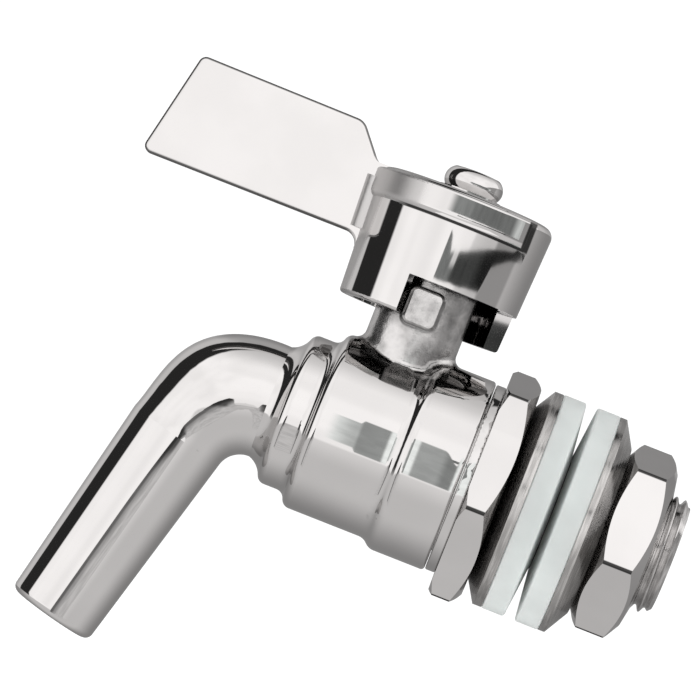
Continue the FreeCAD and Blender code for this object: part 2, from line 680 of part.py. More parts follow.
for name, sign in (("flat_near", "-"), ("flat_far", "")):
    flat = draw(new_sketch(stem, name + "_outline", "YZ_Plane"), [
        (sign + "stem_flats / 2", "cup_roof"),
        (sign + "(stem_upper_radius + 1)", "cup_roof"),
        (sign + "(stem_upper_radius + 1)", stem_end),
        (sign + "stem_flats / 2", stem_end),
    ])
    extrude(stem, name, flat, "2 * stem_upper_radius + 2", cut=True, both_ways=True)
screw_foot = "(cup_top + washer_thickness - screw_length)"
turn(stem, "screw_hole", [
    ("0", f"{screw_foot} - 1"),
    ("screw_radius + screw_clearance", f"{screw_foot} - 0.5"),
    ("screw_radius + screw_clearance", stem_end),
    ("0", stem_end),
], "V_Axis", cut=True)

stem_seal_radius = "groove_radius + stem_seal_section / 2 + seal_room / 2"
for label, groove in (("stem_o_ring_lower", "groove_lower"), ("stem_o_ring_upper", "groove_upper")):
    seal_ring(label, stem_seal_radius, "stem_seal_section", f"{groove} + groove_width / 2", along_x=False)


def flat_ring(label, inside, outside, low, high):
    return turned_piece(label, [(inside, low), (outside, low), (outside, high), (inside, high)], "V_Axis")


flat_ring("stem_lower_washer", "slip_washer_bore", "stem_collar_radius", "gland_floor",
          "gland_floor + slip_washer")
flat_ring("stem_upper_washer", gland_bore, "stem_collar_radius", f"{gland_foot} - slip_washer", gland_foot)

gland_top = "(neck_top + gland_flange_height)"
stem_gland = turned_piece("stem_gland", [
    (gland_bore, gland_foot),
    ("gland_bore_radius - thread_clearance", gland_foot),
    ("gland_bore_radius - thread_clearance", "neck_top"),
    ("gland_flange_radius", "neck_top"),
    ("gland_flange_radius", gland_top),
    (gland_bore, gland_top),
], "V_Axis")
spanner_slot = draw(new_sketch(stem_gland, "spanner_slot_outline", "XZ_Plane"), [
    ("-gland_slot_width / 2", f"{gland_top} - gland_slot_depth"),
    ("gland_slot_width / 2", f"{gland_top} - gland_slot_depth"),
    ("gland_slot_width / 2", gland_top),
    ("-gland_slot_width / 2", gland_top),
])
extrude(stem_gland, "spanner_slot", spanner_slot, "2 * gland_flange_radius + 2", cut=True, both_ways=True)

# Lever handle: a drafted cup, a raised band and a blade on edge.
lever_handle = new_body("lever_handle")
turn(lever_handle, "cup", [
    ("0", "cup_roof"),
    ("0", "cup_top"),
    ("cup_radius - cup_round", "cup_top"),
    ("cup_radius", "cup_top - cup_round", "cup_round", -1),
    ("cup_foot_radius", "cup_foot + cup_foot_round"),
    ("cup_foot_radius - cup_foot_round", "cup_foot", "cup_foot_round", -1),
    ("cup_bore_radius", "cup_foot"),
    ("cup_bore_radius", "cup_roof - cup_inner_round"),
    ("cup_bore_radius - cup_inner_round", "cup_roof", "cup_inner_round", 1),
], "V_Axis")
blade_root_foot = "(blade_foot - blade_root_round)"
blade = draw(new_sketch(lever_handle, "blade_outline", "XZ_Plane"), [
    ("-blade_tip_foot", "blade_foot"),
    ("-blade_tip_top", "blade_top"),
    ("-blade_shoulder", "blade_shoulder_top"),
    ("-blade_shoulder_foot", "cup_top"),
    ("-blade_root", "cup_top"),
    ("-blade_root", blade_root_foot),
    ("-cup_foot_radius - 0.3", blade_root_foot),
    ("-cup_foot_radius - 0.3 - blade_root_round", "blade_foot", "blade_root_round", 1),
])
extrude(lever_handle, "blade", blade, "blade_thickness", both_ways=True)


def blade_corner(reach, rise):
    """Picks the short edges across the blade at one corner of its outline."""
    across, up = value(reach), value(rise)
    return lambda edge: all_along(edge, lambda p: near(p.x, across) and near(p.z, up))


dress(lever_handle, "upper_tip", "Fillet", "blade_tip_round", blade_corner("-blade_tip_top", "blade_top"))
dress(lever_handle, "lower_tip", "Fillet", "blade_tip_round", blade_corner("-blade_tip_foot", "blade_foot"))
dress(lever_handle, "shoulder", "Fillet", "blade_shoulder_round",
      blade_corner("-blade_shoulder", "blade_shoulder_top"))
blade_side = value("blade_thickness") / 2
blade_reach = -value("blade_shoulder")
dress(lever_handle, "blade_edges", "Fillet", "blade_edge_round", lambda edge: all_along(
    edge, lambda p: near(abs(p.y), blade_side)) and edge.CenterOfMass.x < blade_reach
    and near(abs(edge.CenterOfMass.y), blade_side))

# The blade's sides flare into the cup's drafted wall, from a low section to a high one.
cup_shoulder = "(cup_top - cup_round)"
cup_draft = f"(cup_radius - cup_foot_radius) / ({cup_shoulder} - cup_foot - cup_foot_round)"
flare_side = "(blade_thickness / 2 - flare_bite)"


def flare_section(name, height):
    """The flare in plan. Its arcs touch the blade's sides and the cup's wall at this height."""
    wall = f"(cup_radius - ({cup_shoulder} - {height}) * {cup_draft} - flare_bite)"
    centre_out = f"({wall} + flare_radius)"
    centre_side = f"({flare_side} + flare_radius)"
    centre_reach = f"sqrt({centre_out} * {centre_out} - {centre_side} * {centre_side})"
    touch = (f"{centre_reach} * {wall} / {centre_out}", f"{centre_side} * {wall} / {centre_out}")
    sketch = new_sketch(lever_handle, name, "XY_Plane")
    sketch.setExpression("AttachmentOffset.Base.z", bound(height))
    return draw(sketch, [
        ("-" + centre_reach, "-" + flare_side),
        ("-" + touch[0], "-" + touch[1], "flare_radius", 1),
        ("-blade_root", "-" + touch[1]),
        ("-blade_root", touch[1]),
        ("-" + touch[0], touch[1]),
        ("-" + centre_reach, flare_side, "flare_radius", 1),
    ])


flare_low = flare_section("flare_low", "(blade_foot + flare_start)")
flare_high = flare_section("flare_high", f"({cup_shoulder} - cup_foot_round)")
doc.recompute()
flare = lever_handle.newObject("PartDesign::AdditiveLoft", "blade_flare")
flare.Profile = flare_low
flare.Sections = [flare_high]
flare.Ruled = True
finish(lever_handle, flare, cut=False)

band_radius = "(cup_radius + band_stand)"
lip_radius = "(band_lip * band_lip + band_stand * band_stand) / (2 * band_stand)"
turn(lever_handle, "band", [
    ("-(cup_bore_radius + 1)", "band_foot"),
    ("-(cup_bore_radius + 1)", "band_top"),
    (f"-({band_radius} - band_round)", "band_top"),
    ("-" + band_radius, "band_top - band_round", "band_round", 1),
    ("-" + band_radius, "band_foot + band_lip"),
    ("-cup_radius", "band_foot", lip_radius, 1),
], "V_Axis", angle="band_angle")
band_end = math.radians(180 - value("band_angle") / 2)
cup_edge = value("cup_radius") - 0.01
dress(lever_handle, "band_ends", "Fillet", "band_end_round", lambda edge: all_along(
    edge, lambda p: near(abs(math.atan2(p.y, p.x)), band_end, 0.003) and math.hypot(p.x, p.y) > cup_edge))
top_height = value("cup_top")
foot_near = -value("blade_shoulder_foot") + 0.01
foot_far = foot_near - 2 * value("blade_edge_round")
dress(lever_handle, "shoulder_foot", "Fillet", "shoulder_foot_round", lambda edge: all_along(
    edge, lambda p: near(p.z, top_height) and foot_far < p.x < foot_near)
    and not near(abs(edge.CenterOfMass.y), blade_side))

# The lug points at -Y. The window starts beside it, and its middle lies half the lever's travel further round.
window_angle = "2 * asin(lug_width / 2 / cup_bore_radius) + (lever_travel + 2 * stop_gap) * 1 deg"
window_middle = "(90 - lever_travel / 2)"
window = new_sketch(lever_handle, "window_outline", "XZ_Plane")
window.AttachmentOffset = Placement(Vector(), Rotation(Vector(0, -1, 0), value(window_middle)))
window.setExpression("AttachmentOffset.Rotation.Angle", bound(window_middle))
draw(window, [
    ("cup_bore_radius - 1", "cup_foot - 1"),
    ("cup_radius + 1", "cup_foot - 1"),
    ("cup_radius + 1", "window_top"),
    ("cup_bore_radius - 1", "window_top"),
])
stop_window = lever_handle.newObject("PartDesign::Groove", "stop_window")
stop_window.Profile = window
stop_window.ReferenceAxis = (window, ["V_Axis"])
stop_window.Midplane = True
stop_window.setExpression("Angle", bound(window_angle))
finish(lever_handle, stop_window, cut=True)

hole_radius = "(stem_upper_radius + stem_flats_clearance)"
hole_flat = "(stem_flats / 2 + stem_flats_clearance)"
hole_corner = f"sqrt({hole_radius} * {hole_radius} - {hole_flat} * {hole_flat})"
stem_hole = new_sketch(lever_handle, "stem_hole_outline", "XY_Plane")
stem_hole.setExpression("AttachmentOffset.Base.z", bound("cup_top"))
draw(stem_hole, [
    (hole_corner, "-" + hole_flat),
    (hole_corner, hole_flat, hole_radius, 1),
    ("-" + hole_corner, hole_flat),
    ("-" + hole_corner, "-" + hole_flat, hole_radius, 1),
])
extrude(lever_handle, "stem_hole", stem_hole, "cup_top - cup_roof", cut=True)

flat_ring("handle_washer", "washer_bore_radius", "washer_radius", "cup_top", "cup_top + washer_thickness")

head_base = "(cup_top + washer_thickness)"
head_crown = f"({head_base} + screw_head_height - screw_dome)"
handle_screw = turned_piece("handle_screw", [
    ("0", screw_foot),
    ("screw_radius", screw_foot),
    ("screw_radius", head_base),
    ("screw_head_base", head_base),
    ("screw_head_crown", head_crown, "screw_head_round", 1),
    ("0", f"{head_base} + screw_head_height",
     "(screw_head_crown * screw_head_crown + screw_dome * screw_dome) / (2 * screw_dome)", 1),
], "V_Axis")
for name, half_across, half_up in (
        ("recess_one", "recess_length / 2", "recess_width / 2"),
        ("recess_two", "recess_width / 2", "recess_length / 2")):
    arm = new_sketch(handle_screw, name + "_outline", "XY_Plane")
    arm.setExpression("AttachmentOffset.Base.z", bound(f"{head_base} + screw_head_height"))
    draw(arm, [("-" + half_across, "-" + half_up), (half_across, "-" + half_up),
               (half_across, half_up), ("-" + half_across, half_up)])
    extrude(handle_screw, name, arm, "recess_depth", cut=True)

# The clamp on the tank wall, drawn from the wall's face: two soft washers, two backing washers and the nut.
front_soft_back = "(front_soft_thickness + soft_nose)"
rear_soft_back = "(rear_soft_thickness + soft_nose)"
front_backing_face = f"({front_soft_back} + backing_rim + backing_bevel)"
rear_backing_face = f"({rear_soft_back} + rear_rim + rear_bevel)"

turned_piece("front_steel_washer", [
    ("-" + front_backing_face, "backing_bore_radius"),
    ("-" + front_backing_face, "backing_small_radius"),
    (f"-({front_soft_back} + backing_rim)", "backing_radius"),
    ("-" + front_soft_back, "backing_radius"),
    ("-" + front_soft_back, "backing_bore_radius"),
], "H_Axis", in_valve=False)
turned_piece("rear_steel_washer", [
    (rear_soft_back, "backing_bore_radius"),
    (rear_soft_back, "backing_radius"),
    (f"{rear_soft_back} + rear_rim", "backing_radius"),
    (rear_backing_face, "rear_small_radius"),
    (rear_backing_face, "backing_bore_radius"),
], "H_Axis", in_valve=False)
for label, back, side, bend in (("front_silicone_washer", front_soft_back, "-", -1),
                                ("rear_silicone_washer", rear_soft_back, "", 1)):
    turned_piece(label, [
        (side + back, "soft_bore_radius"),
        (side + back, "soft_radius - soft_round"),
        (f"{side}({back} - soft_round)", "soft_radius", "soft_round", bend),
        (f"{side}(soft_dish + soft_round)", "soft_radius"),
        (f"{side}soft_dish", "soft_radius - soft_round", "soft_round", bend),
        (f"{side}soft_nose", "soft_bore_radius"),
    ], "H_Axis", in_valve=False)

nut_start = f"({rear_backing_face} + stack_gap)"
nut_end = f"({nut_start} + nut_length)"
nut_bore = "(tail_radius + nut_clearance)"
backnut = new_body("backnut", in_valve=False)
nut_flats = new_sketch(backnut, "nut_outline", "YZ_Plane")
nut_flats.setExpression("AttachmentOffset.Base.z", bound(nut_start))
extrude(backnut, "nut_blank", draw(nut_flats, hexagon("nut_width", "nut_turn")), "nut_length")
round_corners(backnut, "nut_corners", "nut_width")
nut_corner = "(nut_width / 2 / cos(30) + 1)"
nut_bevel = f"(({nut_corner} - nut_face_radius) * tan(bevel_angle))"
turn(backnut, "nut_inner_bevel", [
    (nut_start, "nut_face_radius"),
    (nut_start, nut_corner),
    (f"{nut_start} + {nut_bevel}", nut_corner),
], "H_Axis", cut=True)
turn(backnut, "nut_outer_bevel", [
    (nut_end, nut_bore),
    (f"{nut_end} - nut_crown", "nut_face_radius"),
    (f"{nut_end} - nut_crown - {nut_bevel}", nut_corner),
    (nut_end, nut_corner),
], "H_Axis", cut=True)
turn(backnut, "nut_bore", [
    (nut_start, "0"),
    (nut_start, nut_bore),
    (nut_end, nut_bore),
    (nut_end, "0"),
], "H_Axis", cut=True)

NODES = (
    "valve_body", "end_connector", "body_o_ring", "ball", "front_seat", "rear_seat", "stem",
    "stem_o_ring_lower", "stem_o_ring_upper", "stem_lower_washer", "stem_upper_washer", "stem_gland",
    "lever_handle", "handle_washer", "handle_screw", "front_steel_washer", "front_silicone_washer",
    "rear_silicone_washer", "rear_steel_washer", "backnut",
)

doc.recompute()
for item in doc.Objects:
    if "Invalid" in item.State or "Error" in item.State:
        raise RuntimeError(f"{item.Name} failed: {item.State}")
os.makedirs("parts", exist_ok=True)
for node in NODES:
    shape = doc.getObjectsByLabel(node)[0].Shape
    if shape.isNull() or not shape.isValid() or len(shape.Solids) != 1:
        raise RuntimeError(f"{node} is not one valid solid")
    shape.exportStep(f"parts/{node}.step")
    print(f"{node}: {shape.Volume:.1f} mm3")
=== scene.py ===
"""Looks for a lever tap: polished castings, turned washers, soft washers, real threads and a small studio."""

import math

import bmesh
import bpy
from bpy.props import FloatProperty, FloatVectorProperty, PointerProperty
from mathutils import Matrix, Vector


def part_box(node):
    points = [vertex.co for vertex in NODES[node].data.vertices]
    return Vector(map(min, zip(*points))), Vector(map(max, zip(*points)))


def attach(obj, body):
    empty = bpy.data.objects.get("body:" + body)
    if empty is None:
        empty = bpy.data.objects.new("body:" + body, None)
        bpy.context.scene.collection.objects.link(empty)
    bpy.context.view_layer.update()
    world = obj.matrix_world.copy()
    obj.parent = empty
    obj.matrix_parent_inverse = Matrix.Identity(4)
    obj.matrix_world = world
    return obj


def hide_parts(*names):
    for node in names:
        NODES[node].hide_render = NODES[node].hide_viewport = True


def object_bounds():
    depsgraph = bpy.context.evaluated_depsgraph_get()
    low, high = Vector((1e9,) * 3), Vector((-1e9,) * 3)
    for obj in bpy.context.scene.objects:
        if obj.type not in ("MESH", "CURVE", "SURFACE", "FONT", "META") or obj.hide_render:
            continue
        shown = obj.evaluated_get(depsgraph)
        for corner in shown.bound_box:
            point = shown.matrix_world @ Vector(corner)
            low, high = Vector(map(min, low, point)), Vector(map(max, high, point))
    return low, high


bl_info = {
    "name": "Water filter tap",
    "version": (1, 0, 0),
    "blender": (4, 5, 0),
    "location": "3D View > Sidebar > Filter Tap",
    "description": "Builds the threads, finishes and studio of a polished lever tap",
    "category": "Object",
}

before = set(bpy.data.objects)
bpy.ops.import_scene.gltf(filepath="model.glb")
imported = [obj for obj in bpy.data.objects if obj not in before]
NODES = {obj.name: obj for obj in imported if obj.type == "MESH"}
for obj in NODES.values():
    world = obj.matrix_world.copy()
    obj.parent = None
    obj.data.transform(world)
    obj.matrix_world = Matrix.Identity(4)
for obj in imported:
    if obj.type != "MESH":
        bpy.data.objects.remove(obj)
CAD_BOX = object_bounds()
MM = 0.001
TAIL_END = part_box("end_connector")[1].x
NUT_START, NUT_END = (corner.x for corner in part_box("backnut"))
STEM_X = sum(corner.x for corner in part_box("stem_gland")) / 2
# Half the width across flats.
HEXAGON_FLAT = 15 * MM
NUT_FLAT = 12 * MM
# Places on the lever and on the stop lug, in the side view.
BLADE_SIDE = 1.3 * MM
BAND_FOOT = 31.5 * MM
BAND_HEAD = 35.8 * MM
BAND_END = -16.35 * MM
LUG_MIDDLE = (-26.4 * MM, 19.2 * MM)
LUG_REACH = (1.2 * MM, 1.4 * MM)
LUG_ROUND = 1.1 * MM
# The painted shade on a backing washer's bevel is full up to the first distance from the tail's axis, and gone at
# the second.
WASHER_BEVEL_SHADE = (12.6 * MM, 15.6 * MM)
# How much of the steel's colour is left in the painted dark lines, which are painted shade and painted reflection.
PAINTED_DARK_SHARE = 0.08


class FinishSizes(bpy.types.PropertyGroup):
    """The tap's steel and silicone."""

    polished: FloatVectorProperty(
        name="Polished steel", description="Colour of the polished castings",
        default=(0.61, 0.6, 0.595), subtype="COLOR", min=0, max=1)
    turned: FloatVectorProperty(
        name="Turned steel", description="Colour of the turned washers",
        default=(0.5, 0.49, 0.48), subtype="COLOR", min=0, max=1)
    polish: FloatProperty(
        name="Polish", description="Roughness of the polished steel", default=0.03, min=0, max=1, subtype="FACTOR")
    casting: FloatProperty(
        name="Casting", description="Roughness of the unpolished neck", default=0.24, min=0, max=1, subtype="FACTOR")
    silicone: FloatVectorProperty(
        name="Silicone", description="Colour of the soft washers",
        default=(0.63, 0.655, 0.643), subtype="COLOR", min=0, max=1)


class ThreadSizes(bpy.types.PropertyGroup):
    """The thread that the tail and the backnut share."""

    pitch: FloatProperty(
        name="Pitch", description="Advance of the thread for each turn", default=1.337 * MM, unit="LENGTH",
        precision=6)
    crest: FloatProperty(
        name="Crest", description="Radius over the tail's thread", default=8.33 * MM, unit="LENGTH", precision=6)
    depth: FloatProperty(
        name="Depth", description="Height of the thread", default=0.856 * MM, unit="LENGTH", precision=6)
    start: FloatProperty(
        name="Start", description="Where the thread begins behind the hexagon", default=-7.0 * MM, unit="LENGTH",
        precision=6)
    bore: FloatProperty(
        name="Bore", description="Radius of the waterway in the tail", default=5.25 * MM, unit="LENGTH", precision=6)
    lead_in: FloatProperty(
        name="Lead-in", description="Bevel at the tail's end", default=0.9 * MM, unit="LENGTH", precision=6)
    clearance: FloatProperty(
        name="Clearance", description="Between the tail's and the nut's threads", default=0.05 * MM, unit="LENGTH",
        precision=6)


class StudioSizes(bpy.types.PropertyGroup):
    """The camera and the brightness of the studio."""

    camera_place: FloatVectorProperty(
        name="Camera", description="Where the camera stands", default=(-0.0159, -0.685, -0.0031), unit="LENGTH",
        precision=5)
    camera_aim: FloatVectorProperty(
        name="Aim", description="What the camera points at", default=(-0.0337, 0.0, 0.0106), unit="LENGTH",
        precision=5)
    camera_roll: FloatProperty(
        name="Roll", description="How far the tap leans clockwise in the picture", default=math.radians(21.5),
        unit="ROTATION")
    lens: FloatProperty(name="Lens", description="Focal length in millimetres", default=257.0, min=1)
    glow: FloatProperty(name="Glow", description="Brightness of the studio's white walls", default=1.45, min=0)


GROUPS = (("tap_finish", FinishSizes), ("tap_thread", ThreadSizes), ("tap_studio", StudioSizes))


class Graph:
    """Short ways to add nodes to a material or the world."""

    def __init__(self, tree):
        self.tree = tree
        tree.nodes.clear()

    def node(self, kind, inputs=(), **settings):
        """Adds a node. Each of its inputs, by name or by number, is a constant or another node's result."""
        made = self.tree.nodes.new(kind)
        for name, setting in settings.items():
            setattr(made, name, setting)
        for name, source in dict(inputs).items():
            if isinstance(source, bpy.types.NodeSocket):
                self.tree.links.new(source, made.inputs[name])
            else:
                made.inputs[name].default_value = source
        return made

    def math(self, operation, *sources):
        """One sum on one or two numbers."""
        return self.node("ShaderNodeMath", enumerate(sources), operation=operation).outputs[0]

    def total(self, first, *others):
        """All the numbers added up."""
        for source in others:
            first = self.math("ADD", first, source)
        return first

    def times(self, first, *others):
        """All the numbers multiplied."""
        for source in others:
            first = self.math("MULTIPLY", first, source)
        return first

    def minus(self, source, taken):
        """The first number less the second."""
        return self.math("SUBTRACT", source, taken)

    def larger(self, first, second):
        """The larger of two numbers."""
        return self.math("MAXIMUM", first, second)

    def size(self, source):
        """A number without its sign."""
        return self.math("ABSOLUTE", source)

    def length(self, *sources):
        """The length of the line whose parts along each axis are given."""
        return self.math("SQRT", self.total(*(self.times(source, source) for source in sources)))

    def step(self, source, low, high, first=0.0, last=1.0):
        """Runs smoothly from first to last while the source runs from low to high."""
        return self.node("ShaderNodeMapRange", {
            "Value": source, "From Min": low, "From Max": high, "To Min": first, "To Max": last},
            interpolation_type="SMOOTHSTEP").outputs["Result"]

    def near(self, source, middle, out, within):
        """1 where the source is within a distance of the middle, and 0 from a larger distance out."""
        return self.step(self.size(self.minus(source, middle)), out, within)

    def blend(self, share, first, second):
        """The first number where the share is 0 and the second where it is 1."""
        return self.node("ShaderNodeMix", {0: share, 2: first, 3: second}, data_type="FLOAT").outputs[0]

    def colour_blend(self, share, first, second):
        """The first colour where the share is 0 and the second where it is 1."""
        return self.node("ShaderNodeMix", {0: share, 6: first, 7: second}, data_type="RGBA").outputs[2]

    def noise(self, vector, scale, detail=2.0, roughness=0.5):
        """A number from 0 to 1 that wanders from place to place."""
        return self.node("ShaderNodeTexNoise", {
            "Vector": vector, "Scale": scale, "Detail": detail, "Roughness": roughness}).outputs["Fac"]

    def vector(self, x, y, z):
        """Three numbers as one vector."""
        return self.node("ShaderNodeCombineXYZ", {"X": x, "Y": y, "Z": z}).outputs[0]

    def numbers(self, vector):
        """One vector as three numbers."""
        return tuple(self.node("ShaderNodeSeparateXYZ", {"Vector": vector}).outputs)


def shaded(colour, share=1.0):
    """A share of a colour, with its alpha."""
    return (*(part * share for part in colour), 1.0)


def new_material(name):
    """An empty material and its graph."""
    material = bpy.data.materials.new(name)
    material.use_nodes = True
    return material, Graph(material.node_tree)


def close_material(graph, height, bump, distance, **sockets):
    """Ends a material in one shader, with a bump from the height."""
    inputs = {name.replace("_", " "): source for name, source in sockets.items()}
    bumped = graph.node("ShaderNodeBump", {"Height": height, "Strength": bump, "Distance": distance})
    shader = graph.node("ShaderNodeBsdfPrincipled", {**inputs, "Normal": bumped.outputs["Normal"]})
    graph.node("ShaderNodeOutputMaterial", {"Surface": shader.outputs["BSDF"]})


def object_place(graph):
    """The place on the object, as one vector and as three numbers, in metres."""
    place = graph.node("ShaderNodeTexCoord").outputs["Object"]
    return (place, *graph.numbers(place))


def buffed(graph, place, colour, polish):
    """The colour and the roughness of buffed steel under a fine haze."""
    haze = graph.step(graph.noise(place, 90.0, 3.0), 0.35, 0.65)
    return graph.colour_blend(haze, shaded(colour, 0.96), shaded(colour)), graph.blend(haze, polish, polish * 1.5)


def polished_steel(name, colour, polish, painted_dark=None, dull=None):
    """Buffed steel with faint buffing marks. Where the painted dark mask is 1 it takes painted dark lines of shade
    and reflection, and where dull is 1 it is satin.
    """
    material, graph = new_material(name)
    place, x, y, z = object_place(graph)
    bright, roughness = buffed(graph, place, colour, polish)
    marks = graph.node("ShaderNodeMapping", {"Vector": place, "Scale": (260.0, 2600.0, 900.0)}).outputs[0]
    if dull:
        satin = dull(graph, x, y, z)
        bright = graph.colour_blend(satin, bright, shaded(colour, 0.85))
        roughness = graph.blend(satin, roughness, 0.4)
    if painted_dark:
        # Painted shade and painted reflection: the steel is made dark where this mask is 1.
        dark = painted_dark(graph, x, y, z)
        bright = graph.colour_blend(dark, bright, shaded(colour, PAINTED_DARK_SHARE))
        roughness = graph.blend(dark, roughness, 0.35)
    close_material(
        graph, graph.noise(marks, 1.0, 2.0), 0.02, 0.02 * MM, Base_Color=bright, Metallic=1.0, Roughness=roughness)
    return material


def painted_corner_lines(flat):
    """Marks a painted dark line along the corners of a hexagon round the tail, a painted reflection of a rounded
    edge.
    """
    corner = flat / math.cos(math.radians(30))
    return lambda graph, x, y, z: graph.step(graph.length(y, z), corner - 0.2 * MM, corner - 0.12 * MM)


def lug_side(graph, y):
    """1 on the side of the tap with the stop lug, and 0 on the far side."""
    return graph.step(y, 0.0, -2.0 * MM)


def lever_painted_dark(graph, x, y, z):
    """Marks painted dark lines: a painted reflection along the blade's rim, and painted shade under the band and at
    its end.
    """
    rim = graph.times(
        graph.step(graph.size(y), BLADE_SIDE - 0.03 * MM, BLADE_SIDE - 0.07 * MM),
        graph.step(x, -39.0 * MM, -40.5 * MM, 0.0, 0.8))
    # Painted shadow under the band, and painted shade at the band's end.
    foot = graph.times(
        graph.near(z, BAND_FOOT, 0.26 * MM, 0.14 * MM), graph.step(x, -36.0 * MM, -33.0 * MM),
        graph.step(x, BAND_END, BAND_END - 0.2 * MM))
    end = graph.times(
        graph.near(x, BAND_END - 0.15 * MM, 0.62 * MM, 0.42 * MM), graph.step(z, BAND_FOOT - 0.4 * MM, BAND_FOOT),
        graph.step(z, BAND_HEAD, BAND_HEAD - 0.3 * MM))
    return graph.larger(rim, graph.times(graph.larger(foot, end), lug_side(graph, y)))


def blade_root(graph, x, y, z):
    """Marks the flare where the blade grows out of the cup, and the band beside it, but not the blade."""
    flare = graph.step(x, -36.6 * MM, -37.4 * MM)
    band = graph.times(
        graph.step(x, -31.0 * MM, -32.6 * MM), graph.step(z, BAND_FOOT, BAND_FOOT + 0.2 * MM),
        graph.step(z, BAND_HEAD + 0.3 * MM, BAND_HEAD))
    beside_blade = graph.step(graph.size(y), BLADE_SIDE + 0.01 * MM, BLADE_SIDE + 0.15 * MM)
    return graph.times(beside_blade, graph.larger(flare, band))


def cast_steel(name, colour, polish, casting):
    """A polished casting. Its neck and stop lug keep the cast skin, and a painted shade ring runs round the lug,
    darker at the top and left.
    """
    material, graph = new_material(name)
    place, x, y, z = object_place(graph)
    neck = graph.times(
        graph.step(graph.length(graph.minus(x, STEM_X), y), 7.6 * MM, 6.9 * MM),
        graph.step(z, 10.2 * MM, 12.6 * MM))
    lug = graph.times(graph.near(x, STEM_X, 3.4 * MM, 2.7 * MM), graph.step(z, 15.6 * MM, 16.4 * MM))
    skin = graph.larger(neck, lug)
    from_lug = graph.minus(graph.length(*(
        graph.larger(graph.minus(graph.size(graph.minus(source, middle)), reach), 0.0)
        for source, middle, reach in zip((x, z), LUG_MIDDLE, LUG_REACH))), LUG_ROUND)
    # Painted shade round the lug, strongest at the top and left.
    lug_shade_ring = graph.times(
        graph.step(from_lug, -0.1 * MM, 0.05 * MM), graph.step(from_lug, 0.55 * MM, 0.3 * MM),
        graph.step(graph.minus(z, x), 46.5 * MM, 43.0 * MM, 1.0, 0.45), lug_side(graph, y))

    bright, roughness = buffed(graph, place, colour, polish)
    patches = graph.noise(place, 230.0, 3.0, 0.55)
    dull = graph.colour_blend(graph.step(patches, 0.32, 0.68), shaded(colour, 0.42), shaded(colour))
    mottle = graph.step(patches, 0.3, 0.7, 0.72, 1.12)
    surface = graph.colour_blend(skin, bright, dull)
    close_material(
        graph, graph.times(skin, graph.noise(place, 700.0, 4.0, 0.6)), 0.55, 0.12 * MM,
        Base_Color=graph.colour_blend(lug_shade_ring, surface, shaded(colour, PAINTED_DARK_SHARE)), Metallic=1.0,
        Roughness=graph.blend(skin, roughness, graph.times(casting, mottle)))
    return material


def turned_steel(name, colour, roughness, rings, bevel_shade=None):
    """Steel from the lathe: rings round the tail's axis, with streaks along them.

    The painted shade on the washers' bevels, which stands for a dark reflection, is given as two distances from the
    axis. It is full up to the first and gone at the second, and it is weaker on the nut's side of the tank wall.
    """
    material, graph = new_material(name)
    x, y, z = object_place(graph)[1:]
    radius = graph.length(y, z)
    grooves = graph.noise(graph.vector(radius, x, 0.0), rings, 3.0, 0.7)
    around = graph.times(graph.math("ARCTAN2", y, z), 3.0)
    streaks = graph.noise(
        graph.vector(graph.times(radius, 2600.0), around, graph.times(x, 2600.0)), 1.0, 3.0, 0.6)
    share = graph.step(streaks, 0.35, 0.68)
    bright = graph.colour_blend(share, shaded(colour, 0.7), shaded(colour, 1.1))
    if bevel_shade:
        # Painted shade on the bevel, standing for a dark reflection.
        dark = graph.times(graph.step(radius, *bevel_shade, 1.0, 0.0), graph.step(x, -1 * MM, 1 * MM, 0.93, 0.5))
        bright = graph.colour_blend(dark, bright, shaded(colour, 0.05))
    close_material(
        graph, graph.total(grooves, graph.times(streaks, 0.5)), 0.25, 0.05 * MM,
        Base_Color=bright, Metallic=1.0, Roughness=graph.blend(share, roughness * 0.8, roughness * 1.5))
    return material


def soft_silicone(name, colour):
    """Milky silicone rubber that lets a little light through."""
    material, graph = new_material(name)
    place = object_place(graph)[0]
    clouds = graph.noise(place, 160.0, 3.0)
    dust = graph.noise(place, 1500.0, 2.0)
    close_material(
        graph, dust, 0.12, 0.05 * MM,
        Base_Color=graph.colour_blend(graph.step(clouds, 0.3, 0.7), shaded(colour, 0.95), shaded(colour, 1.04)),
        Roughness=graph.step(clouds, 0.3, 0.7, 0.34, 0.46), Subsurface_Weight=0.5,
        Subsurface_Radius=(4.0 * MM, 4.5 * MM, 4.5 * MM), Subsurface_Scale=0.5, IOR=1.41, Specular_IOR_Level=0.45)
    return material


def matt_polymer(name, colour, roughness, grain):
    """A moulded ring or a turned seat of rubber or plastic."""
    material, graph = new_material(name)
    speckle = graph.noise(object_place(graph)[0], grain, 3.0)
    close_material(
        graph, speckle, 0.2, 0.04 * MM,
        Base_Color=graph.colour_blend(graph.step(speckle, 0.35, 0.65), shaded(colour, 0.9), shaded(colour)),
        Roughness=graph.step(speckle, 0.3, 0.7, roughness, roughness + 0.12))
    return material


MATERIALS = {}


